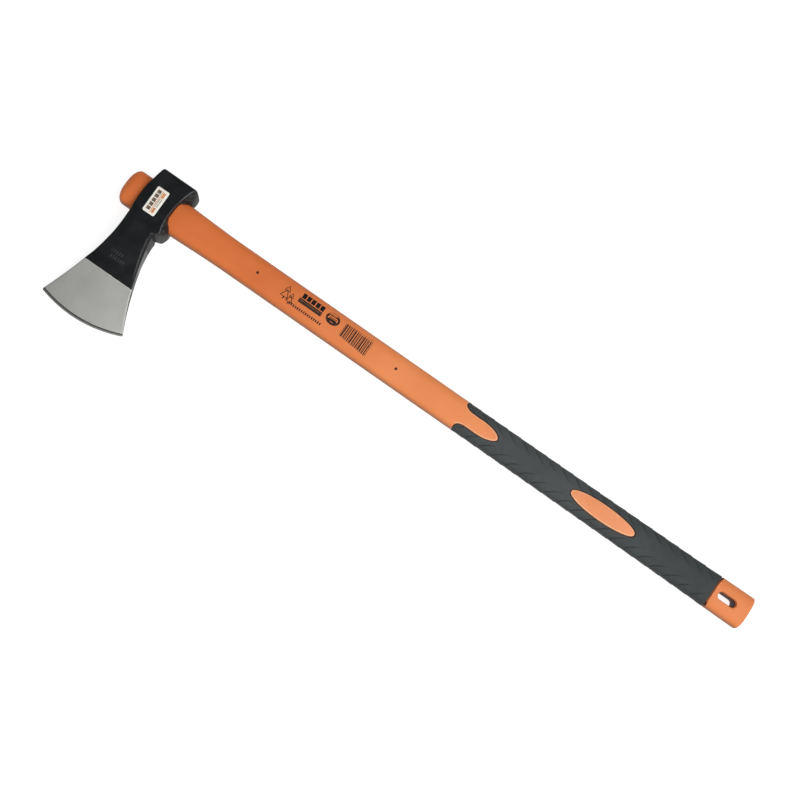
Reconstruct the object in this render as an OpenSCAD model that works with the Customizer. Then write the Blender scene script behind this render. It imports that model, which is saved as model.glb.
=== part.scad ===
// Felling axe: a forged head on a long moulded handle with a soft grip.
// It lies on its lower cheek. The handle runs along +Y towards its butt, the
// cutting edge faces +X, and +Z points out of the upper cheek. The origin is
// the centre of the eye, on the plane of the lower cheek.

/* [Head] */
// Thickness of the head across its cheeks
head_t = 50; // [46:1:54]
// From the centre of the eye back to the face of the poll
poll_reach = 37.2; // [35:0.2:40]
// Height of the poll along the handle
poll_h = 45; // [43:0.5:48]
// Height of the eye collar along the handle
collar_h = 42; // [40:0.5:44]
// From the centre of the eye to the start of the ground bit
grind_start = 102; // [96:1:108]
// Thickness of the bit where the grind starts
grind_t = 17; // [14:0.2:19]
// Rise of the secondary bevel beside the cutting edge
bevel_t = 4.4; // [3.6:0.2:5]
// Width of the secondary bevel
bevel_w = 7; // [5:0.5:9]
// How far the middle of the cutting edge bulges past its corners
edge_bulge = 10; // [8:0.2:13]

/* [Handle] */
// Length of the handle from end to end
handle_l = 900; // [850:10:950]
// Length of the handle past the centre of the eye, above the head
stub_l = 48.6; // [46:0.2:60]
// Depth of the handle, poll side to edge side, at the stub
stub_d = 45.8; // [44:0.1:46]
// Depth of the shaft
shaft_d = 39.2; // [37:0.1:41]
// Depth of the butt end
butt_d = 43; // [42:0.1:45]
// Thickness of the handle at the stub
stub_t = 29.5; // [28:0.5:31]
// Thickness of the shaft
shaft_t = 27.5; // [26:0.5:29]
// Thickness of the butt end
butt_t = 28.5; // [27:0.5:30]
// Gap filled by the bonding layer between the handle and the eye
bond_t = 0.8; // [0.6:0.1:1.2]

/* [Core] */
// Depth of the reinforcing core
core_d = 24; // [20:1:26]
// Thickness of the reinforcing core
core_t = 12; // [10:1:14]

/* [Grip] */
// Wall thickness of the soft sleeve
grip_wall = 2.2; // [1.8:0.1:2.6]
// From the centre of the eye to the front of the sleeve
grip_start = 435.5; // [425:0.5:440]
// From the centre of the eye to the back of the sleeve
grip_end = 799; // [795:0.5:803]
// Length of the tongue of the handle between the sleeve's two lobes
tongue_l = 52.5; // [45:0.5:60]
// Width of that tongue
tongue_w = 18.4; // [16:0.2:22]
// From the centre of the eye to the middle of the sleeve's window
window_y = 639.5; // [600:0.5:660]
// Length of the window in the sleeve
window_l = 90.5; // [80:0.5:100]
// Width of the window in the sleeve
window_w = 20; // [16:0.2:22]

/* [Hang slot] */
// Length of the slot
slot_l = 23.5; // [18:0.5:24]
// Width of the slot
slot_w = 8.4; // [7.6:0.2:11]
// From the centre of the slot to the butt end
slot_inset = 32.6; // [27:0.2:36]

/* [Label] */
// Length of the label
label_l = 34; // [30:0.5:36]
// Width of the label
label_w = 16.4; // [13:0.1:17]
// Thickness of the label
label_t = 0.25; // [0.2:0.05:0.5]

/* [Hidden] */

handle_end = handle_l - stub_l;
head_span = 200;      // wider than the head along the handle
bezier_steps = 16;

// Head outline in the plane of the cheeks, as curves drawn towards their
// pull points
collar_y = collar_h / 2;
poll_top = [-poll_reach, -16];
top_pulls = [[-20, -collar_y], [0, -collar_y - 0.5]];
blade_top = [24, 0.8 - collar_y];
blade_top_pull = [60, -19.4];
toe_pull = [105, -30];
toe = [160, -52];
heel = [152.4, 57.9];
heel_pull = [107, 32.8];
blade_root_pull = [66, 20];
blade_root = [37, 17.6];
lug_pulls = [[33.2, 17.4], [33.6, 24.5]];
lug_tip = [30, 24.4];
arch_pulls = [[14, collar_y - 2.5], [-18, collar_y - 1.3]];
poll_bottom = poll_top + [0, poll_h];
outline_overrun = 14; // the outline runs past the cutting edge, which trims it

// The collar's lower face swells in the middle of its thickness: a heel under
// the poll, and a lug beside the blade
swell_t = 30;
swell_root = 16;      // inside the collar
swell_x = 1.5 - poll_reach;
poll_swell = bezier([swell_x, 32], [-24, 36], [-20, 28], [-8, swell_root]);
lug_swell = concat(bezier([4, swell_root], [14, 22], [18, 30], [27, 30.5]),
                   bezier([27, 30.5], [34, 30.5], [34, 24], [35, swell_root]));

// Half thickness of the head: flat cheek, hollow taper, straight ground bit
mid_z = head_t / 2;
poll_corner_r = 3.5;
cheek_end = [20, mid_z];
taper_pulls = [[38, mid_z], [52, 0.5 * mid_z]];
edge_half_t = 0.3;
wedge_tip = [185, edge_half_t];
bevel_reach = 30;     // the bevel's cone runs this far in from the cutting edge
cone_clearance = 5;   // and this far above the cheeks

// Handle shape along its length
taper_top = -collar_y;
taper_end = 110;
swell_start = 400;
fullness = 3;         // exponent of the oval section: 2 is an ellipse
stub_dome = 8;
butt_dome = 3.4;
sides = 40;
cap_steps = 5;
cap_sweep = 84;       // degrees of the dome's curve before its flat end
oval_step = 10;       // degrees between the points of the window
overrun = 10;         // how far a cutting loft runs past what it cuts
core_start = -38;
core_end = 780;
pin_r = 1.7;          // marks of the pins that centred the core in its mould
pin_depth = 2;
pin_y = [143, 341.8];
label_centre = [1.7, -0.7];
label_turn = 1.0;
label_corner_r = 1.8;

function ease(t) = t <= 0 ? 0 : t >= 1 ? 1 : t * t * (3 - 2 * t);
function bezier(a, b, c, d) =
    [for (i = [0:bezier_steps]) let (t = i / bezier_steps, u = 1 - t)
        u*u*u * a + 3*u*u*t * b + 3*u*t*t * c + t*t*t * d];
function past(from, through) =
    through + outline_overrun * (through - from) / norm(through - from);

// Depth or thickness of the handle at y, from its stub, shaft and butt values
function swell(y) = pow(max(0, (y - swell_start) / (handle_end - swell_start)), 2);
function girth(y, stub, shaft, butt) =
    shaft + (stub - shaft) * (1 - ease((y - taper_top) / (taper_end - taper_top)))
          + (butt - shaft) * swell(y);

// One ring of the handle: a full oval of the girth at y, grown or shrunk by a
// constant, and scaled where it closes over an end
function power(v) = sign(v) * pow(abs(v), 2 / fullness);
function ring(y, at, scale, grow) =
    let (a = (girth(y, stub_d, shaft_d, butt_d) / 2 + grow) * scale,
         b = (girth(y, stub_t, shaft_t, butt_t) / 2 + grow) * scale)
    [for (i = [0:sides - 1]) let (w = 360 * i / sides)
        [a * power(cos(w)), at, mid_z + b * power(sin(w))]];

// Skin over a list of rings, closed by a flat face at each end
module loft(rings) {
    n = len(rings);
    points = [for (r = rings) each r];
    walls = [for (k = [0:n - 2], i = [0:sides - 1])
        let (j = (i + 1) % sides, p = k * sides, q = p + sides)
        each [[p + i, p + j, q + i], [p + j, q + j, q + i]]];
    near_cap = [for (i = [sides - 1:-1:0]) i];
    far_cap = [for (i = [0:sides - 1]) (n - 1) * sides + i];
    polyhedron(points, concat(walls, [near_cap, far_cap]));
}

// Ends close with a shallow dome: the ring shrinks as it nears the end
function cap(end, dome, way) =
    [for (i = [0:cap_steps]) let (w = cap_sweep * i / cap_steps)
        ring(end - way * dome, end - way * dome * (1 - power(sin(w))), power(cos(w)), 0)];

module handle_body() {
    stub_rings = cap(-stub_l, stub_dome, -1);
    butt_rings = cap(handle_end, butt_dome, 1);
    along = concat([for (i = [0:6]) taper_top + (taper_end - taper_top) * i / 6],
                   [swell_start],
                   [for (i = [1:7]) swell_start + (handle_end - 20 - swell_start) * i / 7]);
    loft(concat([for (i = [cap_steps:-1:0]) stub_rings[i]],
                [for (y = along) ring(y, y, 1, 0)],
                butt_rings));
}

// Space of the tapered eye, a bond's thickness larger than the handle in it
module eye_space() {
    reach = collar_y + overrun;
    loft([for (i = [0:4]) let (y = -reach + reach * i / 2) ring(y, y, 1, bond_t)]);
}

module head_outline() {
    collar_top = bezier(poll_top, top_pulls[0], top_pulls[1], blade_top);
    upper_edge = bezier(blade_top, blade_top_pull, toe_pull, toe);
    lower_edge = bezier(heel, heel_pull, blade_root_pull, blade_root);
    lug = bezier(blade_root, lug_pulls[0], lug_pulls[1], lug_tip);
    arch = bezier(lug_tip, arch_pulls[0], arch_pulls[1], poll_bottom);
    polygon(concat(collar_top, upper_edge, [past(toe_pull, toe), past(heel_pull, heel)],
                   lower_edge, lug, arch));
}

// Head seen along the handle: poll, parallel cheeks, hollow taper, ground bit
module wedge_outline() {
    corner = [for (w = [0:15:90])
        [-poll_reach + poll_corner_r * (1 - cos(w)), mid_z - poll_corner_r * (1 - sin(w))]];
    taper = bezier(cheek_end, taper_pulls[0], taper_pulls[1], [grind_start, grind_t / 2]);
    upper = concat(corner, taper, [wedge_tip]);
    lower = [for (i = [len(upper) - 1:-1:0]) [upper[i][0], -upper[i][1]]];
    polygon(concat(upper, lower));
}

// Disc whose sharp rim is the curved cutting edge
module edge_disc() {
    chord = heel - toe;
    middle = (heel + toe) / 2;
    outwards = [chord[1], -chord[0]] / norm(chord);
    radius = pow(norm(chord) / 2, 2) / (2 * edge_bulge) + edge_bulge / 2;
    centre = middle + (edge_bulge - radius) * outwards;
    rim = edge_half_t + bevel_t / 2;
    clear = mid_z + cone_clearance;
    slope_in = radius - bevel_reach;
    translate([centre[0], centre[1], mid_z])
        rotate_extrude($fn = 240)
            polygon([[0, -clear], [slope_in, -clear], [radius - bevel_w, -rim],
                     [radius, -edge_half_t], [radius, edge_half_t],
                     [radius - bevel_w, rim], [slope_in, clear], [0, clear]]);
}

module axe_head() {
    color("#22262a")
        difference() {
            intersection() {
                union() {
                    linear_extrude(head_t) head_outline();
                    translate([0, 0, mid_z - swell_t / 2]) linear_extrude(swell_t) {
                        polygon(concat([[swell_x, swell_root]], poll_swell));
                        polygon(lug_swell);
                    }
                }
                translate([0, head_span / 2, mid_z]) rotate([90, 0, 0])
                    linear_extrude(head_span) wedge_outline();
                edge_disc();
            }
            eye_space();
        }
}

module eye_bond() {
    color("#b9a26a")
        difference() {
            intersection() {
                eye_space();
                linear_extrude(head_t) head_outline();
            }
            handle_body();
        }
}

// Oval bar inside the handle
module handle_core() {
    color("#d8cfae")
        translate([0, core_start, mid_z]) rotate([-90, 0, 0])
            linear_extrude(core_end - core_start) {
                square([core_d - core_t, core_t], center = true);
                for (side = [-1, 1])
                    translate([side * (core_d - core_t) / 2, 0]) circle(d = core_t, $fn = 48);
            }
}

// Opening of the sleeve's window, and the tongue between its front lobes
module window_outline() {
    polygon([for (w = [0:oval_step:359])
        [window_w / 2 * power(cos(w)), (window_l / 2) * sin(w)]]);
}
module tongue_outline() {
    throat = 12;      // the tongue widens to the handle's edges over this length
    widening = 6;
    tip = 26;         // length of its rounded tip
    half = tongue_w / 2;
    flare = [for (w = [0:15:90])
        [half + widening - widening * sin(w), throat - throat * cos(w)]];
    nose = [for (w = [15:15:90]) [half * cos(w), tongue_l - tip + tip * sin(w)]];
    right = concat([[half + widening, -1]], flare, [[half, tongue_l - tip]], nose);
    left = [for (i = [len(right) - 2:-1:0]) [-right[i][0], right[i][1]]];
    polygon(concat(right, left));
}

// Stretch of the handle that the soft sleeve wraps
module grip_zone() {
    width = butt_d + overrun;
    linear_extrude(head_t)
        difference() {
            translate([-width / 2, grip_start]) square([width, grip_end - grip_start]);
            translate([0, grip_start]) tongue_outline();
            translate([0, window_y]) window_outline();
        }
}
module sleeve_inside() {
    span = grip_end - grip_start + 2 * overrun;
    loft([for (i = [0:6]) let (y = grip_start - overrun + span * i / 6)
        ring(y, y, 1, -grip_wall)]);
}

module grip_sleeve() {
    color("#474b4c")
        difference() {
            intersection() {
                handle_body();
                grip_zone();
            }
            sleeve_inside();
        }
}

module hang_slot() {
    straight = slot_l - slot_w;
    translate([0, handle_end - slot_inset, 0])
        linear_extrude(head_t) {
            square([slot_w, straight], center = true);
            for (side = [-1, 1])
                translate([0, side * straight / 2]) circle(d = slot_w, $fn = 64);
        }
}

module pin_marks() {
    depth = shaft_t / 2 - pin_depth;
    for (y = pin_y, side = [0, 1])
        translate([0, y, mid_z]) mirror([0, 0, side])
            translate([0, 0, depth]) cylinder(r = pin_r, h = head_t, $fn = 32);
}

module handle_jacket() {
    color("#d4743f")
        difference() {
            handle_body();
            difference() {
                grip_zone();
                sleeve_inside();
            }
            handle_core();
            hang_slot();
            pin_marks();
        }
}

module head_label() {
    w = label_l / 2 - label_corner_r;
    h = label_w / 2 - label_corner_r;
    color("#f2ede2")
        translate([label_centre[0], label_centre[1], head_t]) rotate(label_turn)
            linear_extrude(label_t) {
                square([label_l, 2 * h], center = true);
                square([2 * w, label_w], center = true);
                for (x = [-w, w], y = [-h, h])
                    translate([x, y]) circle(r = label_corner_r, $fn = 32);
            }
}

axe_head();
eye_bond();
handle_core();
handle_jacket();
grip_sleeve();
head_label();
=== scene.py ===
"""Looks of a felling axe: a lacquered forged head on a moulded handle with a soft grip.

Geometry is worked out in millimetres in the row frame and scaled to metres when a
mesh is made. +Y runs along the handle to the butt, +X points to the cutting edge
and +Z out of the upper cheek. The axe lies on its lower cheek.
"""

import math
from itertools import product

import bmesh
import bpy
import numpy as np
from mathutils import Matrix, Vector, noise


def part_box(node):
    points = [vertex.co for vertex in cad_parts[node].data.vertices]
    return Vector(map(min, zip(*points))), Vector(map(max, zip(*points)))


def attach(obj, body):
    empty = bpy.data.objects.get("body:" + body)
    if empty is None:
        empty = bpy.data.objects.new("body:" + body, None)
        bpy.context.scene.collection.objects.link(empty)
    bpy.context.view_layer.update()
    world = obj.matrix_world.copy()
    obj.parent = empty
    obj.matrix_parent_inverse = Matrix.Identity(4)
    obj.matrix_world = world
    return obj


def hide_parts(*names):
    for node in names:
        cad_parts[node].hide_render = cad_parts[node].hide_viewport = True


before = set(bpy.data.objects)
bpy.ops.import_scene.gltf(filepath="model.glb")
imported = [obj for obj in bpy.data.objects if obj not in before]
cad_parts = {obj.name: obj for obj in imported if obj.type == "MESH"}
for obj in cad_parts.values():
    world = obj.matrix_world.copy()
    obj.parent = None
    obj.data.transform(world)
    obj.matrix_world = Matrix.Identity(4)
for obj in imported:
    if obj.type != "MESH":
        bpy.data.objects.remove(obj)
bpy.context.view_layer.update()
M = 0.001  # metres in a millimetre


def box_mm(node):
    low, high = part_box(node)
    return np.array(low) / M, np.array(high) / M


# ---------------------------------------------------------------- sizes, in mm
HEAD_LOW, HEAD_HIGH = box_mm("axe_head")
JACKET_LOW, JACKET_HIGH = box_mm("handle_jacket")
SLEEVE_LOW, SLEEVE_HIGH = box_mm("grip_sleeve")
LABEL_LOW, LABEL_HIGH = box_mm("head_label")

CHEEK = (HEAD_HIGH[2] - HEAD_LOW[2]) / 2  # half the thickness of the head
MID_Z = HEAD_LOW[2] + CHEEK
POLL_X = HEAD_LOW[0]
HANDLE_TOP, HANDLE_END = JACKET_LOW[1], JACKET_HIGH[1]
GRIP_START, GRIP_END = SLEEVE_LOW[1], SLEEVE_HIGH[1]

# Head outline in plan, as curves with their pull points
COLLAR = 21.0
POLL_TOP = (POLL_X, -16.0)
TOP_PULLS = ((-20, -COLLAR), (0, -COLLAR - 0.5))
BLADE_TOP = (24, 0.8 - COLLAR)
BLADE_TOP_PULL, TOE_PULL = (60, -19.4), (105, -30)
TOE, HEEL = (160, -52), (152.4, 57.9)
HEEL_PULL, ROOT_PULL, BLADE_ROOT = (107, 33), (64, 21.5), (40.5, 20)
NOTCH_PULLS, NOTCH = ((37, 19.9), (36.5, 17.2)), (35.2, 17.2)
LUG_PULLS, LUG_TIP = ((33.4, 17.2), (33.6, 24.4)), (30.5, 24.4)
ARCH_PULLS = ((14, COLLAR - 2.5), (-18, COLLAR - 1.3))
POLL_BOTTOM = (POLL_X, 29.6)
PIT_X, PIT_Y = 35.6, 19.6  # the pit beside the lug
# The lower outline half way through the thickness: the poll's heel and the lug swell
HEEL_OF_POLL = ((POLL_X, 32.0), (-28, 34.5), (-20, 34), (-15, 23.5))
UNDER_EYE = ((-10, 21.8), (8, 21.8))
LUG_SWELL = ((14, 24.5), (18, 32.5), (30, 33.0), (34.6, 22))
SWELL_END = (36, 17.6)
# The ground bit: where it starts, its half thicknesses, and how far its edge bows out
GRIND_START = 102.0
GRIND_HALF, BEVEL_HALF, EDGE_HALF = 8.5, 1.15, 0.15
EDGE_BULGE, BEVEL_WIDTH = 10.0, 3.6
BEVEL_STEPS = 8
CORNER_R = 1.6
# Where the forged scale and the painted highlight along the rounded edge of the cheeks show on the
# head, along X
SCALE_POLL, SCALE_LUG, SCALE_BLADE = -12, 12, 54
CHEEK_HIGHLIGHT_TO = 36

# Handle girth along its length
STUB_D, SHAFT_D, BUTT_D = 45.8, 39.2, 43.0
STUB_T, SHAFT_T, BUTT_T = 29.5, 27.5, 28.5
TAPER_TOP, TAPER_END, SWELL_START = -COLLAR, 110.0, 400.0
FULLNESS = 3.0
STUB_DOME, BUTT_DOME, BUTT_SLANT = 11.0, 3.4, 0.6
STUB_INSET, BUTT_INSET = 0.8, 1.4  # how far the domed ends stop short of the ends
BOND = 0.8  # thickness of the resin in the eye
SLEEVE_WALL = 2.2
AROUND = 128  # points round the handle
PIN_Y = (143.0, 341.8)
PIN_R = 1.6
TONGUE_LENGTH, TONGUE_HALF = 52.5, 9.0
WINDOW_Y, WINDOW_LENGTH, WINDOW_WIDTH = 639.7, 90.5, 20.0
SLOT_LENGTH, SLOT_WIDTH = 23.5, 8.4
SLOT_Y = HANDLE_END - 32.6
SLOT_SHADE = 5.5  # how deep in the slot its wall turns dark
GROOVE = 1.1  # width of the groove round the grip's openings
LABEL_CENTRE = (LABEL_LOW + LABEL_HIGH)[:2] / 2
LABEL_TURN = math.radians(1.0)
LABEL_SIZE = (34.0, 16.4)


# ---------------------------------------------------------------- curves
def ease(t):
    t = np.clip(t, 0, 1)
    return t * t * (3 - 2 * t)


def bezier(a, b, c, d, steps=24):
    t = np.linspace(0, 1, steps + 1)[:, None]
    a, b, c, d = (np.array(p, float) for p in (a, b, c, d))
    u = 1 - t
    return u**3 * a + 3 * u * u * t * b + 3 * u * t * t * c + t**3 * d


def power(v, fullness=FULLNESS):
    return np.sign(v) * np.abs(v) ** (2 / fullness)


def girth(y, stub, shaft, butt):
    swell = np.maximum(0, (y - SWELL_START) / (HANDLE_END - SWELL_START)) ** 2
    taper = 1 - ease((y - TAPER_TOP) / (TAPER_END - TAPER_TOP))
    return shaft + (stub - shaft) * taper + (butt - shaft) * swell


def half_depth(y):
    return girth(y, STUB_D, SHAFT_D, BUTT_D) / 2


def half_thickness(y):
    return girth(y, STUB_T, SHAFT_T, BUTT_T) / 2


def surface_height(x, y):
    """Height of the handle's upper face above its middle plane."""
    across = np.minimum(np.abs(x) / half_depth(y), 0.96)
    return half_thickness(y) * (1 - across**FULLNESS) ** (1 / FULLNESS)


def even_oval(a, b, fine=1440):
    """Points of a full oval at equal steps of arc length, from +X round through +Z."""
    w = np.linspace(0, 2 * math.pi, fine + 1)
    x, z = a * power(np.cos(w)), b * power(np.sin(w))
    run = np.concatenate([[0], np.cumsum(np.hypot(np.diff(x), np.diff(z)))])
    at = np.linspace(0, run[-1], AROUND, endpoint=False)
    return np.interp(at, run, x), np.interp(at, run, z)


def ring(y, grow=0.0, scale=1.0, at=None):
    """Cross-section of the handle at y, grown and scaled, and placed at another y if given."""
    a = (half_depth(y) + grow) * scale
    b = (half_thickness(y) + grow) * scale
    x, z = even_oval(a, b)
    return np.stack([x, np.full(AROUND, y if at is None else at), MID_Z + z], axis=1)


# ---------------------------------------------------------------- mesh tools
def finish_mesh(obj, smooth_angle):
    obj.data.shade_smooth()
    obj.data.set_sharp_from_angle(angle=math.radians(smooth_angle))


def new_object(name, points, faces, smooth_angle=35):
    mesh = bpy.data.meshes.new(name)
    mesh.from_pydata((np.asarray(points) * M).tolist(), [], faces)
    shape = bmesh.new()
    shape.from_mesh(mesh)
    bmesh.ops.recalc_face_normals(shape, faces=shape.faces)
    shape.to_mesh(mesh)
    shape.free()
    obj = bpy.data.objects.new(name, mesh)
    bpy.context.scene.collection.objects.link(obj)
    finish_mesh(obj, smooth_angle)
    return obj


def wall_faces(rows, count, closed=False):
    """Quads between each row of points and the next."""
    faces = []
    for r in range(rows if closed else rows - 1):
        p, q = r * count, ((r + 1) % rows) * count
        for i in range(count):
            j = (i + 1) % count
            faces.append((p + i, q + i, q + j, p + j))
    return faces


def loft(name, *shapes, closed=False, smooth_angle=35):
    """Skins over lists of rings of points, with flat ends, or joined end to end."""
    points, faces = [], []
    for rings in shapes:
        count, first = len(rings[0]), len(points)
        skin = wall_faces(len(rings), count, closed)
        if not closed:
            last = (len(rings) - 1) * count
            skin.append(tuple(range(count)))
            skin.append(tuple(last + i for i in reversed(range(count))))
        faces += [tuple(first + i for i in face) for face in skin]
        points += list(np.concatenate(rings))
    return new_object(name, points, faces, smooth_angle)


def boolean(obj, cutter, smooth_angle=35):
    """Cuts the cutter out of the object. Cuts are joined in one cutter where they can be,
    because a later cut may leave the cutter's own end in place."""
    cut = obj.modifiers.new("cut", "BOOLEAN")
    cut.operation = "DIFFERENCE"
    cut.object = cutter
    cut.solver = "EXACT"
    depsgraph = bpy.context.evaluated_depsgraph_get()
    made = bpy.data.meshes.new_from_object(obj.evaluated_get(depsgraph))
    obj.modifiers.clear()
    obj.data = made
    bpy.data.objects.remove(cutter)
    finish_mesh(obj, smooth_angle)
    return obj


def grown(outline, by):
    """A closed plan outline moved outwards along its normals."""
    ahead, behind = np.roll(outline, -1, axis=0), np.roll(outline, 1, axis=0)
    along = ahead - behind
    normal = np.stack([along[:, 1], -along[:, 0]], axis=1)
    normal /= np.linalg.norm(normal, axis=1)[:, None]
    return outline + by * normal


def through_rings(outline, levels):
    """Rings of a cutter through the handle. Each level is how far it stands above the
    handle's faces and how far it flares from its outline, from the inside out."""
    upper = []
    for above, flare in levels:
        plan = grown(outline, flare)
        height = surface_height(plan[:, 0], plan[:, 1]) + above
        upper.append((plan, height))
    rings = [np.column_stack([p, MID_Z - h]) for p, h in reversed(upper)]
    return rings + [np.column_stack([p, MID_Z + h]) for p, h in upper]


# ---------------------------------------------------------------- materials
class Look:
    """A principled material built node by node."""

    def __init__(self, name):
        self.material = bpy.data.materials.new(name)
        self.material.use_nodes = True
        self.nodes = self.material.node_tree.nodes
        self.links = self.material.node_tree.links
        self.shader = self.nodes["Principled BSDF"]
        self.place = self.add("ShaderNodeTexCoord").outputs["Object"]

    def add(self, kind, **settings):
        node = self.nodes.new(kind)
        for key, value in settings.items():
            setattr(node, key, value)
        return node

    def set(self, **values):
        for key, value in values.items():
            self.shader.inputs[key.replace("_", " ")].default_value = value

    def join(self, value, socket):
        if hasattr(value, "links"):
            self.links.new(value, socket)
        else:
            socket.default_value = value

    def stretched(self, x, y, z):
        mapping = self.add("ShaderNodeMapping")
        mapping.inputs["Scale"].default_value = (x, y, z)
        self.links.new(self.place, mapping.inputs["Vector"])
        return mapping.outputs["Vector"]

    def noise(self, scale, detail=3.0, roughness=0.55, vector=None):
        node = self.add("ShaderNodeTexNoise")
        node.inputs["Scale"].default_value = scale
        node.inputs["Detail"].default_value = detail
        node.inputs["Roughness"].default_value = roughness
        self.links.new(vector or self.place, node.inputs["Vector"])
        return node.outputs["Fac"]

    def cells(self, scale):
        node = self.add("ShaderNodeTexVoronoi", feature="F1")
        node.inputs["Scale"].default_value = scale
        self.links.new(self.place, node.inputs["Vector"])
        return node.outputs["Distance"]

    def axis(self, name):
        split = self.add("ShaderNodeSeparateXYZ")
        self.links.new(self.place, split.inputs[0])
        return split.outputs[name]

    def span(self, value, low, high, out_low=0.0, out_high=1.0):
        """Maps low..high to out_low..out_high, held at the ends."""
        node = self.add("ShaderNodeMapRange", interpolation_type="SMOOTHSTEP")
        for socket, number in zip(node.inputs, (None, low, high, out_low, out_high)):
            if number is not None:
                socket.default_value = number
        self.join(value, node.inputs["Value"])
        return node.outputs["Result"]

    def math(self, operation, a, b=0.0):
        node = self.add("ShaderNodeMath", operation=operation)
        self.join(a, node.inputs[0])
        self.join(b, node.inputs[1])
        return node.outputs[0]

    def mix(self, factor, a, b):
        node = self.add("ShaderNodeMix", data_type="RGBA")
        self.join(factor, node.inputs["Factor"])
        colours = [s for s in node.inputs if s.type == "RGBA"]
        for socket, colour in zip(colours, (a, b)):
            self.join((*colour, 1) if isinstance(colour, tuple) else colour, socket)
        return next(s for s in node.outputs if s.type == "RGBA")

    def bump(self, height, distance, strength=1.0, after=None):
        node = self.add("ShaderNodeBump")
        node.inputs["Distance"].default_value = distance
        node.inputs["Strength"].default_value = strength
        self.links.new(height, node.inputs["Height"])
        if after is not None:
            self.links.new(after, node.inputs["Normal"])
        return node.outputs["Normal"]

    def wire(self, **sockets):
        for key, value in sockets.items():
            self.links.new(value, self.shader.inputs[key.replace("_", " ")])
        return self.material


def lacquer():
    look = Look("black_lacquer")
    look.set(Specular_IOR_Level=0.26)
    cloud = look.noise(28, 5)
    grain = look.noise(900, 3)
    pits = look.span(look.cells(420), 0.0, 0.35)
    colour = look.mix(look.span(cloud, 0.35, 0.7), (0.0026, 0.0040, 0.0046), (0.0056, 0.0074, 0.0084))
    rough = look.span(look.noise(60, 4), 0.3, 0.7, 0.34, 0.5)
    scale = look.noise(330, 4, 0.6)
    fine = look.bump(pits, 0.00008, 0.4, look.bump(grain, 0.00006, 0.5))
    bumps = look.bump(scale, 0.0002, 0.35, fine)
    return look.wire(Base_Color=colour, Roughness=rough, Normal=bumps)


def ground_steel(name="ground_steel", light=(0.46, 0.46, 0.44), dark=(0.38, 0.38, 0.365)):
    look = Look(name)
    look.set(Metallic=0.75)
    lines = look.noise(1.0, 4, 0.7, look.stretched(60, 1500, 60))
    cloud = look.noise(22, 4)
    tone = look.math("ADD", look.math("MULTIPLY", lines, 0.45), look.math("MULTIPLY", cloud, 0.55))
    colour = look.mix(look.span(tone, 0.3, 0.7), dark, light)
    rough = look.span(look.noise(40, 5), 0.3, 0.7, 0.50, 0.56)
    return look.wire(Base_Color=colour, Roughness=rough, Normal=look.bump(lines, 0.00004, 0.5))


def painted_side_shade(look, colour, dark):
    """Paints shade into a colour: darker towards the middle plane along the two sides of the handle,
    where the sides turn away from the light.
    """
    off = look.math("ABSOLUTE", look.math("SUBTRACT", look.axis("Z"), MID_Z * M))
    return look.mix(look.span(off, 0.002, 0.0120), dark, colour)


def orange_plastic():
    look = Look("orange_plastic")
    look.set(Specular_IOR_Level=0.15)
    cloud = look.noise(14, 4)
    speck = look.noise(700, 2)
    deep = look.mix(look.span(cloud, 0.3, 0.7), (0.60, 0.145, 0.038), (0.66, 0.168, 0.046))
    painted_lit_orange = look.mix(look.span(cloud, 0.3, 0.7), (0.69, 0.214, 0.070), (0.73, 0.240, 0.083))
    pale = look.mix(look.span(cloud, 0.3, 0.7), (0.68, 0.240, 0.098), (0.76, 0.290, 0.140))
    # painted light: the orange is painted lighter from the head towards the butt, a pool of light on
    # the butt half; past 0.74 m it is a little less pale again
    body = look.mix(look.span(look.axis("Y"), 0.10, 0.36), deep, painted_lit_orange)
    body = look.mix(look.span(look.axis("Y"), 0.40, 0.60), body, pale)
    butt = look.mix(look.span(cloud, 0.3, 0.7), (0.62, 0.185, 0.060), (0.66, 0.208, 0.070))
    body = look.mix(look.span(look.axis("Y"), 0.74, 0.78), body, butt)
    # painted shade: the orange darkens down the handle's two sides
    colour = painted_side_shade(look, body, (0.25, 0.080, 0.024))
    rough = look.span(look.noise(90, 4), 0.3, 0.7, 0.42, 0.54)
    return look.wire(Base_Color=colour, Roughness=rough, Normal=look.bump(speck, 0.00005, 0.35))


def orange_rim_highlight():
    """The paler rim of the pads: a painted highlight where the rounded edge of the moulding catches
    the light.
    """
    return plain_look("orange_rim_highlight", (0.70, 0.30, 0.13), (0.80, 0.40, 0.20), 0.5, 120)


def grip_rubber():
    look = Look("grip_rubber")
    look.set(Specular_IOR_Level=0.2)
    cloud = look.noise(20, 4)
    grain = look.noise(1600, 2)
    body = look.mix(look.span(cloud, 0.3, 0.7), (0.043, 0.048, 0.049), (0.055, 0.061, 0.062))
    body = look.mix(look.span(look.axis("Y"), 0.62, 0.82), body, (0.035, 0.040, 0.041))
    # painted shade: the rubber darkens down the grip's two sides
    body = painted_side_shade(look, body, (0.019, 0.021, 0.022))
    # painted shade: the grooves between the scales are painted darker
    groove = look.add("ShaderNodeAttribute", attribute_name="groove").outputs["Fac"]
    colour = look.mix(groove, body, (0.012, 0.013, 0.014))
    rough = look.span(look.noise(120, 4), 0.3, 0.7, 0.6, 0.74)
    return look.wire(Base_Color=colour, Roughness=rough, Normal=look.bump(grain, 0.00008, 0.5))


def plain_look(name, low, high, roughness, scale, bump_size=0.00003, **constants):
    """A mottled surface between two colours, with a fine grain."""
    look = Look(name)
    look.set(**constants)
    mottle = look.noise(scale, 4)
    grain = look.noise(scale * 12, 2)
    rough = look.span(mottle, 0.3, 0.7, roughness - 0.06, roughness + 0.06)
    colour = look.mix(look.span(mottle, 0.3, 0.7), low, high)
    return look.wire(Base_Color=colour, Roughness=rough, Normal=look.bump(grain, bump_size, 0.4))


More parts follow.
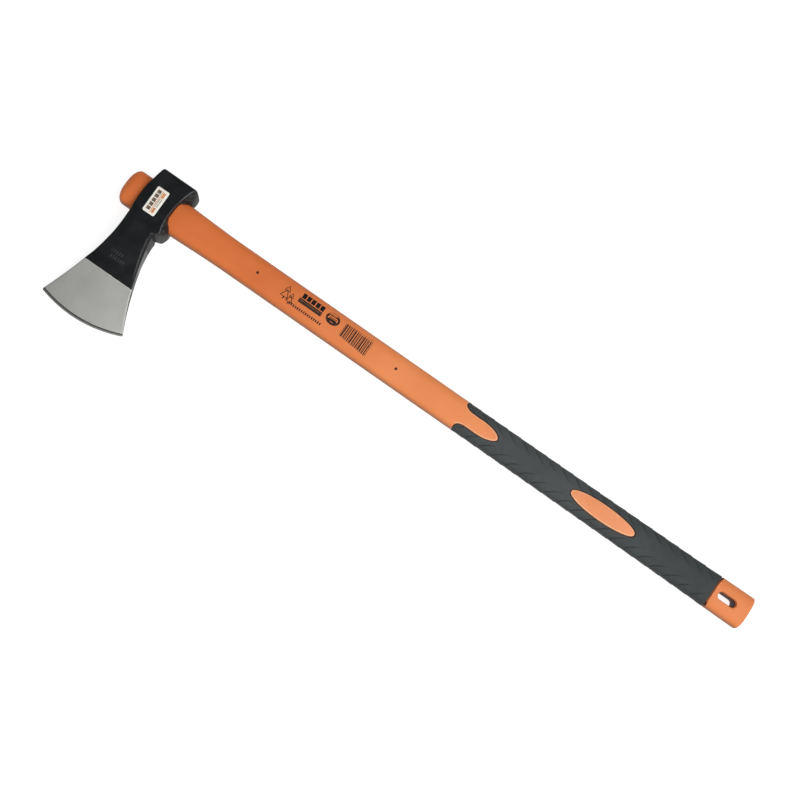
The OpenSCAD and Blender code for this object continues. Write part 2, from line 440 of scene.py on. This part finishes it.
def fibreglass():
    look = Look("fibreglass")
    strands = look.noise(1.0, 4, 0.6, look.stretched(1800, 12, 1800))
    colour = look.mix(look.span(strands, 0.3, 0.7), (0.46, 0.40, 0.24), (0.66, 0.60, 0.42))
    rough = look.span(strands, 0.3, 0.7, 0.35, 0.55)
    return look.wire(Base_Color=colour, Roughness=rough, Normal=look.bump(strands, 0.0001, 0.5))


def wear(obj, *materials):
    obj.data.materials.clear()
    for material in materials:
        obj.data.materials.append(material)


# ---------------------------------------------------------------- head
def head_outlines():
    """The upper and the lower outline of the head in plan, from poll to cutting edge."""
    upper = [bezier(POLL_TOP, *TOP_PULLS, BLADE_TOP, 30)]
    upper += [bezier(BLADE_TOP, BLADE_TOP_PULL, TOE_PULL, TOE, 60)[1:]]
    lower = [bezier(POLL_BOTTOM, *reversed(ARCH_PULLS), LUG_TIP, 40)]
    lower += [bezier(LUG_TIP, *reversed(LUG_PULLS), NOTCH, 16)[1:]]
    lower += [bezier(NOTCH, *reversed(NOTCH_PULLS), BLADE_ROOT, 8)[1:]]
    lower += [bezier(BLADE_ROOT, ROOT_PULL, HEEL_PULL, HEEL, 60)[1:]]
    return np.concatenate(upper), np.concatenate(lower)


UPPER, LOWER = head_outlines()


def upper_y(x):
    return np.interp(x, UPPER[:, 0], UPPER[:, 1])


def lower_y(x):
    return np.interp(x, LOWER[:, 0], LOWER[:, 1])


TAPER = bezier((20, CHEEK), (38, CHEEK), (52, 0.50 * CHEEK), (GRIND_START, GRIND_HALF), 60)


def cheek_half(x):
    return np.interp(x, TAPER[:, 0], TAPER[:, 1])


def ear_swell(x, height):
    """How far the lower face stands out past its outline, towards the middle of the
    head's thickness."""
    middle = np.concatenate([bezier(*HEEL_OF_POLL), UNDER_EYE, bezier(*LUG_SWELL), [SWELL_END]])
    swell = np.interp(x, middle[:, 0], middle[:, 1]) - lower_y(x)
    return np.where(x < SWELL_END[0], np.maximum(swell, 0), 0) * (1 - (height / CHEEK) ** 4)


def head_profile(length, half, top_r, low_r, corner=6, along=44, side=5):
    """Half of a cross-section, from the middle of its upper face over the cheek to
    the middle of its lower face, as (distance from the upper outline, height)."""
    top_r, low_r = min(top_r, 0.9 * half), min(low_r, 0.9 * half)
    turn = np.linspace(0, math.pi / 2, corner + 1)
    rise = np.linspace(0, 1, side + 1)[:-1]
    near = [(0, h) for h in rise * (half - top_r)]
    near += [(top_r * (1 - math.cos(w)), half - top_r * (1 - math.sin(w))) for w in turn]
    flat = [(q, half) for q in np.linspace(top_r, length - low_r, along + 1)[1:-1]]
    far = [(length - low_r * (1 - math.sin(w)), half - low_r * (1 - math.cos(w))) for w in turn]
    far += [(length, h) for h in (1 - rise[1:]) * (half - low_r)] + [(length, 0)]
    return np.array(near + flat + far)


def head_ring(start, end, half, top_r, low_r, bulge=0.0, inset=(0.0, 0.0)):
    """Cross-section between a point of each outline; bulge bows it towards the edge."""
    start, end = np.array(start, float), np.array(end, float)
    chord = end - start
    length = np.linalg.norm(chord)
    along = chord / length
    outwards = np.array([along[1], -along[0]])
    profile = head_profile(length - 2 * inset[0], half - inset[1], top_r, low_r)
    across = (profile[:, 0] + inset[0]) / length
    plan = start + np.outer(across * length, along)
    plan += np.outer(bulge * 4 * across * (1 - across), outwards)
    far = ease((across - 0.8) / 0.2)
    plan[:, 1] += far * ear_swell(plan[:, 0], profile[:, 1])
    upper = np.column_stack([plan, MID_Z + profile[:, 1]])
    under = np.column_stack([plan, MID_Z - profile[:, 1]])[-2:0:-1]
    return np.concatenate([upper, under])


def edge_radii(x):
    """Rounding of the upper and the lower edges of the cheeks at x."""
    top = np.interp(x, (-30, 20, 45, 90, 102), (0.9, 1.1, 2.6, 2.0, 0.6))
    low = np.interp(x, (-30, 20, 34, 42, 60, 90, 102), (1.1, 1.1, 1.4, 5.2, 4.6, 2.6, 0.8))
    return top, low


def body_rings():
    rings = []
    for w in np.linspace(math.pi / 2, 0, 7):
        x = POLL_X + 3.2 * (1 - math.sin(w))
        inset = (1.5 * (1 - math.cos(w)), 3.2 * (1 - math.cos(w)))
        start, end = (x, upper_y(x)), (x, lower_y(x))
        rings.append(head_ring(start, end, CHEEK, 0.9, 0.9, inset=inset))
    stations = LOWER[:, 0][(LOWER[:, 0] > POLL_X + 4) & (LOWER[:, 0] < GRIND_START - 0.4)]
    for x in np.append(stations, GRIND_START):
        top_r, low_r = edge_radii(x)
        start, end = (x, upper_y(x)), (x, lower_y(x))
        rings.append(head_ring(start, end, cheek_half(x), top_r, low_r))
    return rings


def bit_rings(steps=26):
    """Rings of the ground bit, from its straight border to the curved edge."""
    rings = []
    reach = (TOE[0] + HEEL[0]) / 2 + EDGE_BULGE - GRIND_START
    bevel_at = 1 - BEVEL_WIDTH / reach
    first = 0.9 / reach
    shares = np.concatenate([[first], np.linspace(first, bevel_at, steps)[1:],
                             np.linspace(bevel_at, 1, BEVEL_STEPS + 1)[1:]])
    for s in shares:
        top_x = GRIND_START + (TOE[0] - GRIND_START) * s
        low_x = GRIND_START + (HEEL[0] - GRIND_START) * s
        if s <= bevel_at:
            half = GRIND_HALF + (BEVEL_HALF - GRIND_HALF) * s / bevel_at
        else:
            half = BEVEL_HALF + (EDGE_HALF - BEVEL_HALF) * (s - bevel_at) / (1 - bevel_at)
        start, end = (top_x, upper_y(top_x)), (low_x, lower_y(low_x))
        turned = max(0, (s - bevel_at) / (1 - bevel_at))
        corner = CORNER_R * (1 - math.sqrt(1 - turned * turned))
        rings.append(head_ring(start, end, half, 0.8, 0.8, EDGE_BULGE * s, (corner, 0)))
    return rings


def strip_cap(first, count, flip):
    """Closes a symmetric ring with quads from its upper to its under half."""
    middle = count // 2
    faces = [(0, 1, count - 1)]
    faces += [(k, k + 1, count - k - 1, count - k) for k in range(1, middle - 1)]
    faces += [(middle - 1, middle, middle + 1)]
    faces = [tuple(first + i for i in f) for f in faces]
    return [tuple(reversed(f)) for f in faces] if flip else faces


def forge(points):
    """Slight unevenness of the forged surface, fading out at the collar and grind."""
    moved = points.copy()
    for i, (x, y, z) in enumerate(points):
        depth = 0.16 * ease((x - 24) / 24) * ease((GRIND_START - x) / 14) + 0.04
        if x > GRIND_START - 0.5 or x < POLL_X + 4:
            depth = 0
        if depth:
            at = Vector((x, y, z)) / 13
            moved[i, 2] += depth * noise.noise(at) * (1 if z > MID_Z else -1)
            moved[i, 1] += depth * noise.noise(at + Vector((7, 3, 5)))
    return moved


def lug_pits():
    """Small pits at the root of the notch beside the lug, one in each cheek."""
    pits = []
    for side in (-1, 1):
        levels = [(round_outline(PIT_Y, r) + (PIT_X, 0), MID_Z + side * (CHEEK + above))
                  for above, r in ((-8.0, 0.8), (-4.5, 1.6), (-2.0, 2.2), (2.0, 2.8))]
        pits.append([np.column_stack([plan, np.full(len(plan), z)]) for plan, z in levels])
    return pits


def head_looks():
    """Materials of the head, in the order that axe_head numbers them."""
    return (
        lacquer(),
        ground_steel(),
        plain_look("dark_steel", (0.020, 0.020, 0.018), (0.050, 0.050, 0.045), 0.55, 150),
        # painted highlight line at the border of the grind
        ground_steel("ground_steel_highlight", (0.58, 0.57, 0.545), (0.47, 0.47, 0.445)),
        plain_look("lacquer_painted_highlight", (0.012, 0.014, 0.014), (0.038, 0.040, 0.039), 0.45, 240),
        plain_look("forged_scale", (0.001, 0.0012, 0.0014), (0.030, 0.032, 0.030), 0.6, 260,
                   0.0004, Specular_IOR_Level=0.25),
        ground_steel("edge_steel", (0.26, 0.26, 0.25), (0.20, 0.20, 0.19)),
    )


def axe_head():
    body, bit = body_rings(), bit_rings()
    rings = body + bit
    count = len(rings[0])
    faces = wall_faces(len(rings), count)
    faces += strip_cap(0, count, False) + strip_cap((len(rings) - 1) * count, count, True)
    head = new_object("forged_head", forge(np.concatenate(rings)), faces, 28)
    wear(head, *head_looks())
    black, ground, dark, bright, cheek_highlight, scale, edge = range(7)
    # The first strip of the bit, at the border of the grind, is painted brighter: a painted highlight
    # line.
    looks = [black] * (len(body) - 1) + [bright] + [ground] * (len(bit) - 1 - BEVEL_STEPS)
    looks += [dark] * (BEVEL_STEPS // 2) + [edge] * (BEVEL_STEPS // 2)
    side_points, rounding, underside = 5, (56, 57), 57  # places round a cross-section
    for face in head.data.polygons[:len(looks) * count]:
        row, at = divmod(min(face.vertices), count)
        on_side = min(at, abs(at - count // 2), count - at) < side_points
        face.material_index = dark if on_side and looks[row] == ground else looks[row]
        x, low = face.center.x / M, min(at, count - at)
        bare = x < SCALE_POLL or SCALE_LUG < x < SCALE_BLADE
        if looks[row] == black and low > underside and bare:
            face.material_index = scale
        # painted highlight along the rounded edge of the collar's cheeks
        elif looks[row] == black and low in rounding and x < CHEEK_HIGHLIGHT_TO:
            face.material_index = cheek_highlight
    for face in head.data.polygons[-count // 2:]:
        face.material_index = dark
    levels = ((-3.4, 0.0), (-1.8, 0.1), (-0.9, 0.4), (-0.3, 0.9), (0.0, 1.4), (2.0, 3.4))
    rings = [eye_ring(lift, flare, -1) for lift, flare in reversed(levels)]
    rings += [eye_ring(lift, flare, 1) for lift, flare in levels]
    return boolean(head, loft("eye", rings, *lug_pits()), smooth_angle=32)


def eye_ring(lift, grow, way):
    """Ring of the tapered eye that follows the collar's upper (-1) or lower (1) face."""
    at = ring(way * COLLAR, BOND + grow)
    lower = lower_y(at[:, 0]) + ear_swell(at[:, 0], at[:, 2] - MID_Z)
    face = upper_y(at[:, 0]) if way < 0 else lower
    at[:, 1] = face + way * lift
    for i, y in enumerate(at[:, 1]):
        oval = ring(y, BOND + grow)
        at[i, 0], at[i, 2] = oval[i, 0], oval[i, 2]
    return at


def eye_bond():
    """Resin that fills the gap between the handle and the eye, set a little back."""
    sunk = 1.5
    outer = [ring(y, BOND - 0.02) for y in np.linspace(-COLLAR + 3, COLLAR - 3, 9)]
    ends = [eye_ring(-sunk, -0.02, way) for way in (-1, 1)]
    inner_ends = [eye_ring(-sunk - 0.4, -BOND + 0.02, way) for way in (-1, 1)]
    inner = [ring(y, 0.02) for y in np.linspace(COLLAR - 3, -COLLAR + 3, 9)]
    rings = [ends[0], *outer, ends[1], inner_ends[1], *inner, inner_ends[0]]
    return loft("eye_resin", rings, closed=True)


# ---------------------------------------------------------------- handle
def dome(end, height, way, fullness, steps=14):
    """Rings that close an end of the handle."""
    rings = []
    for w in np.linspace(0, math.pi / 2 * 0.985, steps):
        at = end - way * height * (1 - power(math.sin(w), fullness))
        rings.append(ring(end - way * height, 0, power(math.cos(w), fullness), at))
    return rings


def parting_line(points):
    """Raises a fine ridge along each side, where the mould halves met."""
    for i, dz in ((0, 0.0), (1, 0.35), (-1, -0.35)):
        for k, side in ((i, 1), (AROUND // 2 - i, -1)):
            points[k, 2] = MID_Z + dz
            points[k, 0] += side * (0.14 if dz == 0 else 0.0)
    return points


def handle_rings():
    slant_from = HANDLE_END - 24
    stub = dome(HANDLE_TOP + STUB_INSET, STUB_DOME, -1, 2.2)[::-1]
    along = np.concatenate([np.arange(HANDLE_TOP + STUB_DOME + 3, SWELL_START, 5.0),
                            np.arange(SWELL_START, HANDLE_END - BUTT_DOME - 2, 4.0)])
    butt = dome(HANDLE_END - BUTT_INSET, BUTT_DOME, 1, 3.4)
    rings = stub + [ring(y) for y in along] + butt
    for points in rings:
        side = ease((points[:, 0] / half_depth(HANDLE_END) - 0.3) / 0.7)
        near_end = ease((points[:, 1] - slant_from) / (HANDLE_END - slant_from))
        points[:, 1] -= BUTT_SLANT * side * near_end
        parting_line(points)
    return rings


def window_outline(count=96):
    w = np.linspace(0, 2 * math.pi, count, endpoint=False)
    x = WINDOW_WIDTH / 2 * power(np.cos(w), 2.2)
    return np.column_stack([x, WINDOW_Y + WINDOW_LENGTH / 2 * np.sin(w)])


def tongue_outline():
    """The tongue of the handle between the sleeve's two lobes, with the bare shaft
    in front of it."""
    throat, tip, wide, clear = 12.0, 26.0, 6.0, 16.0
    flare = [(TONGUE_HALF + wide * (1 - math.sin(w)), throat * (1 - math.cos(w)))
             for w in np.linspace(0, math.pi / 2, 13)]
    flank = [(TONGUE_HALF, y) for y in np.linspace(throat, TONGUE_LENGTH - tip, 8)[1:-1]]
    nose = [(TONGUE_HALF * power(math.cos(w), 1.9), TONGUE_LENGTH - tip + tip * math.sin(w))
            for w in np.linspace(0, math.pi / 2, 17)]
    right = [(30.0, -clear), (30.0, -0.6), (TONGUE_HALF + wide + 2, -0.3)] + flare + flank + nose
    left = [(-x, y) for x, y in reversed(right[:-1])]
    return np.array(right + left) + (0, GRIP_START)


def slot_outline(steps=16):
    straight = (SLOT_LENGTH - SLOT_WIDTH) / 2
    r = SLOT_WIDTH / 2
    points = []
    for base, shift in ((0, straight), (math.pi, -straight)):
        for w in np.linspace(0, math.pi, steps):
            points.append((r * math.cos(base + w), SLOT_Y + shift + r * math.sin(base + w)))
    return np.array(points)


def round_outline(y, r, count=32):
    w = np.linspace(0, 2 * math.pi, count, endpoint=False)
    return np.column_stack([r * np.cos(w), y + r * np.sin(w)])


def sleeve_space(inner, outer, start, end, step):
    """Closed shell round the handle between two offsets from its surface."""
    out_y = np.arange(start, end + step / 2, step)
    outside = [bowed(ring(y, outer)) for y in out_y]
    inside = [bowed(ring(y, inner)) for y in np.linspace(end, start, 30)]
    return loft("recess", outside + inside, closed=True)


def bowed(points):
    """The sleeve's back end reaches further along the sides than over the middle."""
    across = np.clip(points[:, 0] / half_depth(GRIP_END), -1.1, 1.1)
    poll_side, bit_side = 3.8 * np.maximum(-across, 0) ** 3, 2.5 * np.maximum(across, 0) ** 6
    near_end = ease((points[:, 1] - GRIP_END + 40) / 40)
    points[:, 1] += near_end * (poll_side + bit_side - 0.5)
    return points


def pin_marks():
    """Blind round marks of the pins that held the core, in both faces of the handle."""
    marks = []
    for y, side in product(PIN_Y, (-1, 1)):
        rings = []
        for above, r in ((-2.6, 1.4), (-0.5, 1.5), (-0.15, 1.7), (0.0, 2.0), (1.0, 3.0)):
            plan = round_outline(y, r)
            height = surface_height(plan[:, 0], plan[:, 1]) + above
            rings.append(np.column_stack([plan, MID_Z + side * height]))
        marks.append(rings)
    return marks


def handle_jacket():
    jacket = loft("handle_body", handle_rings(), smooth_angle=40)
    rim = ((-9.0, 0.0), (-4.5, 0.3), (-2.2, 0.6), (-1.0, 1.0), (-0.3, 1.4), (0.02, 1.9), (3.0, 2.9))
    holes = loft("holes", *pin_marks(), through_rings(slot_outline(), rim))
    boolean(jacket, holes, smooth_angle=40)
    recess = sleeve_space(-SLEEVE_WALL, 6.0, GRIP_START - 0.1, GRIP_END + 0.9, 8.0)
    pad = ((-6.0, 0.0), (-1.1, 0.0), (-0.5, -0.1), (-0.25, -0.4), (-0.1, -0.9), (0.05, -1.8),
           (8.0, -1.9))
    pads = loft("pads", through_rings(window_outline(), pad), through_rings(tongue_outline(), pad))
    boolean(recess, pads)
    boolean(jacket, recess, smooth_angle=40)
    shadow = plain_look("pin_shadow", (0.06, 0.010, 0.004), (0.10, 0.020, 0.008), 0.6, 300)
    wear(jacket, orange_plastic(), orange_rim_highlight(), shadow)
    rims = [window_outline(), tongue_outline()]
    for face in jacket.data.polygons:
        face.material_index = jacket_look(*(face.center / M), rims)
    return jacket


def jacket_look(x, y, z, rims):
    """Which of the jacket's materials a face takes, from where its centre is."""
    plastic, edge, shadow = range(3)
    depth = surface_height(x, y) - abs(z - MID_Z)
    in_grip = GRIP_START - 1 < y < GRIP_END + 5
    in_slot = abs(x) < SLOT_WIDTH and abs(y - SLOT_Y) < SLOT_LENGTH / 2 + 2
    in_pin_mark = any(math.hypot(x, y - pin) < PIN_R for pin in PIN_Y)
    in_groove = in_grip and 1.0 < depth < 4 and (abs(x) < 0.9 * half_depth(y) or y > GRIP_END - 2)
    if (in_slot and depth > SLOT_SHADE) or (in_pin_mark and depth > 0.1) or in_groove:
        return shadow
    # painted highlight on the rounded rim of the pads
    if in_grip and 0.03 < depth < 0.9 and near_outline((x, y), rims) < 2.2:
        return edge
    return plastic


def near_outline(point, outlines):
    return min(np.linalg.norm(outline - point, axis=1).min() for outline in outlines)


def scale_relief(points, y):
    """Height of the embossed scales, rows of arcs that sweep in from both sides, and
    how deep in the groove between two scales each point is."""
    pitch, height, step = 19.0, 0.5, 0.07
    inward = half_depth(y) - np.abs(points[:, 0])
    along = y - GRIP_START - 0.9 * inward - 0.05 * inward**2
    phase = (along / pitch) % 1.0
    crest = np.where(phase < 1 - step, phase / (1 - step), (1 - phase) / step) ** 1.6
    groove = np.exp(-((np.minimum(phase, 1 - phase) / 0.06) ** 2))
    ends = ease((y - GRIP_START) / 10) * ease((GRIP_END - 3 - y) / 8)
    strength = (1 - ease((inward - 7) / 8)) * ends
    return height * (crest - 1) * strength, groove * strength


def grip_sleeve():
    start, end, step = GRIP_START + 0.1, GRIP_END - 0.5, 0.5
    outside, grooves = [], []
    for y in np.linspace(start, end - 0.6, int((end - start) / step)):
        points = ring(y, 0.12)
        lift, groove = scale_relief(points, y)
        grooves.append(groove)
        out = points - (0, y, MID_Z)
        out /= np.linalg.norm(out, axis=1)[:, None]
        outside.append(bowed(points + out * lift[:, None]))
    rim = [bowed(ring(y, g)) for y, g in ((end - 0.25, -0.02), (end, -0.4))]
    inside = [bowed(ring(y, 0.04 - SLEEVE_WALL)) for y in np.linspace(end, start, 30)]
    sleeve = loft("soft_grip", outside + rim + inside, closed=True, smooth_angle=40)
    # how deep in a groove each point is, which the rubber turns into painted shade
    depth = sleeve.data.attributes.new("groove", "FLOAT", "POINT")
    values = np.zeros(len(sleeve.data.vertices))
    grooves = np.concatenate(grooves)
    values[:len(grooves)] = grooves
    depth.data.foreach_set("value", values)
    opening = ((-6.0, 0.0), (-0.6, 0.0), (-0.3, 0.1), (-0.1, 0.3), (0.2, 0.8), (6.0, 1.6))
    opening = [(above, flare + GROOVE) for above, flare in opening]
    openings = (through_rings(plan, opening) for plan in (window_outline(), tongue_outline()))
    boolean(sleeve, loft("openings", *openings), smooth_angle=40)
    wear(sleeve, grip_rubber())
    return sleeve


# ---------------------------------------------------------------- label and print
def rounded_rect(width, height, r, steps=8):
    points = []
    for k, (sx, sy) in enumerate(((1, 1), (-1, 1), (-1, -1), (1, -1))):
        for w in np.linspace(0, math.pi / 2, steps + 1):
            a = w + k * math.pi / 2
            points.append((sx * (width / 2 - r) + r * math.cos(a),
                           sy * (height / 2 - r) + r * math.sin(a)))
    return np.array(points)


def on_label(points, z):
    c, s = math.cos(LABEL_TURN), math.sin(LABEL_TURN)
    x, y = points[:, 0], points[:, 1]
    plan = np.column_stack([x * c - y * s, x * s + y * c]) + LABEL_CENTRE
    return np.column_stack([plan, np.full(len(plan), z)])


def head_label():
    top = LABEL_HIGH[2]
    rows = ((LABEL_LOW[2] - 0.1, 0.0), (top - 0.08, 0.0), (top - 0.02, -0.05), (top, -0.12))
    plan = rounded_rect(*LABEL_SIZE, 1.8)
    label = loft("sticker", [on_label(grown(plan, g), z) for z, g in rows])
    wear(label, plain_look("label_paper", (0.80, 0.77, 0.68), (0.86, 0.83, 0.76), 0.45, 300))
    return label


def patch_mesh(name, shapes, lift):
    """Thin raised shapes in one mesh. lift gives the lower and the upper points of
    each plan outline."""
    points, faces = [], []
    for plan in shapes:
        low, high = lift(plan)
        base = len(points)
        n = len(plan)
        points += list(low) + list(high)
        faces += [tuple(base + i for i in face) for face in wall_faces(2, n)]
        faces.append(tuple(base + n + i for i in range(n)))
        faces.append(tuple(base + i for i in reversed(range(n))))
    return new_object(name, points, faces)


def bar(x0, x1, y0, y1):
    return np.array([(x1, y0), (x1, y1), (x0, y1), (x0, y0)], float)


def label_print():
    top = LABEL_HIGH[2]

    def lift(plan):
        return on_label(plan, top - 0.02), on_label(plan, top + 0.03)

    dark = [bar(x, x + 4.6, -5.4, -0.6) for x in np.linspace(-14.0, 8.6, 5)]
    orange = [bar(-14.4, 14.4, 0.4, 1.3), bar(-13.6, -6.2, 1.9, 5.2), bar(7.2, 14.2, 1.9, 5.2)]
    grey = [bar(-5.2, 6.2, y, y + 1.1) for y in (2.0, 4.2)]
    made = []
    for name, shapes, low, high in (
        ("label_dark_bars", dark, (0.085, 0.055, 0.040), (0.20, 0.125, 0.08)),
        ("label_orange_bars", orange, (0.56, 0.20, 0.08), (0.70, 0.34, 0.14)),
        ("label_grey_bar", grey, (0.30, 0.27, 0.24), (0.40, 0.36, 0.32)),
    ):
        piece = patch_mesh(name, shapes, lift)
        wear(piece, plain_look(name, low, high, 0.5, 500))
        made.append(piece)
    return made


def head_stamp():
    """Two faint rows of plain strokes on the blade's cheek."""
    rows = ((73.4, np.linspace(-11, 3, 5)), (80.2, np.linspace(-8, 8.5, 6)))
    strokes = [bar(x, x + 4.4, y - 0.8, y + 0.8) for x, row in rows for y in row]

    def lift(plan):
        height = MID_Z + cheek_half(plan[:, 0])
        return [forge(np.column_stack([plan, height + above])) for above in (-0.1, 0.06)]

    stamp = patch_mesh("blade_stamp", strokes, lift)
    wear(stamp, plain_look("stamped_lacquer", (0.010, 0.013, 0.016), (0.026, 0.030, 0.034), 0.4, 900))
    return stamp


def on_handle(plan, above):
    z = MID_Z + surface_height(plan[:, 0], plan[:, 1]) + above
    return np.column_stack([plan, z])


def ink_strip(start, end, width, steps=6):
    """A straight printed stroke as short pieces that follow the handle's surface."""
    start, end = np.array(start, float), np.array(end, float)
    along = (end - start) / np.linalg.norm(end - start)
    side = np.array([-along[1], along[0]]) * width / 2
    at = [start + (end - start) * t for t in np.linspace(0, 1, steps + 1)]
    return [np.array([p - side, q - side, q + side, p + side]) for p, q in zip(at, at[1:])]


def handle_print():
    """The printed block: a pair of conifers, a row of squares, a band, a line of dashes,
    a round mark and bars."""
    trees = []
    for top, foot, y in ((-13.5, 8.5, 184.5), (-7.0, 10.5, 192.5)):
        mid, wide = (top + foot) / 2, (foot - top) / 4.4
        for x, tier in ((mid, 0.7 * wide), (foot - 3, wide)):
            trees += ink_strip((x, y - tier), (x, y + tier), 0.8)
            trees += ink_strip((x, y - tier), (x - 1.9 * tier, y), 0.8)
            trees += ink_strip((x - 1.9 * tier, y), (x, y + tier), 0.8)
        trees += ink_strip((foot - 3, y), (foot, y), 1.4)
    squares = []
    for y in np.linspace(202.6, 228, 5):
        squares += ink_strip((-12.3, y + 2.5), (-5.7, y + 2.5), 5.2)
    band = ink_strip((-2.0, 201), (-2.0, 233.5), 5.6, 8)
    lines = []
    for y in np.linspace(194.5, 238, 16):
        lines += ink_strip((6.4, y), (9.6, y), 1.7, 2)
    centre, radius, turns = np.array([-5.6, 247.6]), np.array([5.8, 8.0]), 28
    w = np.linspace(0, 2 * math.pi, turns + 1)
    circle = centre + radius * np.column_stack([np.cos(w), np.sin(w)])
    for start, end in zip(circle, circle[1:]):
        squares += ink_strip(start, end, 2.8, 1)
    for x in (-7.6, -3.6):
        squares += ink_strip((x, 242.2), (x, 253.0), 3.2, 3)
    bars = []
    y = 264.0
    for k in range(19):
        width = 0.7 + 0.4 * ((k * 7) % 3) + 0.9 * (k % 6 == 1)
        slide = (y - 264) / 37
        bars += ink_strip((-11.3 - slide, y + width / 2), (6.2 + 3 * slide, y + width / 2), width, 8)
        y += width + 0.55 + 0.3 * ((k * 5) % 3)
    made = []
    for name, strokes, ink, worn_ink in (
        ("printed_squares", squares, (0.004, 0.003, 0.003), (0.02, 0.010, 0.006)),
        ("printed_band", band, (0.012, 0.010, 0.008), (0.10, 0.042, 0.018)),
        ("printed_lines", trees + lines + bars, (0.015, 0.006, 0.004), (0.10, 0.03, 0.012)),
    ):
        strokes = [s[::-1] if np.cross(s[1] - s[0], s[2] - s[1]) < 0 else s for s in strokes]
        piece = patch_mesh(name, strokes, lambda p: (on_handle(p, -0.02), on_handle(p, 0.03)))
        look = Look(name)
        look.set(Specular_IOR_Level=0.2)
        worn = look.span(look.noise(900, 4), 0.45, 0.7)
        rough = look.span(worn, 0, 1, 0.5, 0.6)
        wear(piece, look.wire(Base_Color=look.mix(worn, ink, worn_ink), Roughness=rough))
        made.append(piece)
    return made


# ---------------------------------------------------------------- assembly
def place(piece, slot, *nodes):
    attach(piece, "root")
    if nodes:
        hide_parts(*nodes)


resin = eye_bond()
wear(resin, plain_look("resin", (0.018, 0.008, 0.005), (0.035, 0.014, 0.008), 0.4, 200))
place(axe_head(), "head_steel", "axe_head")
place(head_stamp(), "head_steel")
place(resin, "bond_resin", "eye_bond")
place(handle_jacket(), "orange_plastic", "handle_jacket")
place(grip_sleeve(), "grip_rubber", "grip_sleeve")
place(head_label(), "label_paper", "head_label")
for part in label_print():
    place(part, "label_paper")
for part in handle_print():
    place(part, "orange_plastic")
wear(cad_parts["handle_core"], fibreglass())


# ---------------------------------------------------------------- studio
def floor():
    size = 12000.0
    corners = [(-size, -size, 0), (size, -size, 0), (size, size, 0), (-size, size, 0)]
    mesh = new_object("floor", corners, [(0, 1, 2, 3)])
    glow = {"Emission Color": (1, 1, 1, 1), "Emission Strength": 0.84}
    wear(mesh, plain_look("floor_white", (0.27, 0.27, 0.27), (0.28, 0.28, 0.28), 0.9, 2, **glow))


def sky():
    """Pale at the horizon, then dark, with a broad bright band and a dark zenith."""
    world = bpy.data.worlds.new("studio")
    bpy.context.scene.world = world
    world.use_nodes = True
    nodes, links = world.node_tree.nodes, world.node_tree.links
    place_in = nodes.new("ShaderNodeTexCoord")
    split = nodes.new("ShaderNodeSeparateXYZ")
    ramp = nodes.new("ShaderNodeValToRGB")
    stops = ramp.color_ramp.elements
    for at, grey in ((0.08, 0.75), (0.16, 0.12), (0.50, 0.2), (0.80, 0.25), (0.90, 0.12)):
        stop = stops.new(at)
        stop.color = (grey, grey, grey, 1)
    stops[0].color, stops[-1].color = (0.75, 0.75, 0.75, 1), (0.12, 0.12, 0.12, 1)
    links.new(place_in.outputs["Generated"], split.inputs[0])
    links.new(split.outputs["Z"], ramp.inputs["Fac"])
    background = nodes["Background"]
    links.new(ramp.outputs["Color"], background.inputs["Color"])
    background.inputs["Strength"].default_value = 1.0


def softbox(name, at, target, size, power_w):
    data = bpy.data.lights.new(name, "AREA")
    data.shape = "RECTANGLE"
    data.size, data.size_y = size
    data.energy = power_w
    lamp = bpy.data.objects.new(name, data)
    bpy.context.scene.collection.objects.link(lamp)
    lamp.location = at
    lamp.rotation_euler = (Vector(target) - Vector(at)).to_track_quat("-Z", "Y").to_euler()


def camera():
    """Looks down on the axe from the bit side, rolled so that the handle runs down
    to the right."""
    target = Vector((25.6, 367.0, 25.0)) * M
    distance, lean, roll = 1.630, math.radians(9.0), math.radians(34.87)
    half_view = 0.47484  # half the width of the view at the target, in metres
    back = Vector((math.sin(lean), 0, math.cos(lean)))
    along = Vector((0, 1, 0))
    across = Vector((math.cos(lean), 0, -math.sin(lean)))
    right = along * math.cos(roll) - across * math.sin(roll)
    up = -along * math.sin(roll) - across * math.cos(roll)
    data = bpy.data.cameras.new("camera")
    data.angle = 2 * math.atan(half_view / distance)
    data.clip_start, data.clip_end = 0.05, 60
    cam = bpy.data.objects.new("camera", data)
    bpy.context.scene.collection.objects.link(cam)
    cam.matrix_world = Matrix((right, up, back)).transposed().to_4x4()
    cam.location = target + back * distance
    bpy.context.scene.camera = cam


floor()
sky()
AIM = (0.02, 0.4, 0)
softbox("butt_light", (0.15, 1.2, 2.3), AIM, (1.9, 1.6), 56)
softbox("bit_light", (1.6, 0.9, 1.5), AIM, (1.4, 1.4), 12)
camera()
bpy.context.scene.view_settings.view_transform = "Standard"
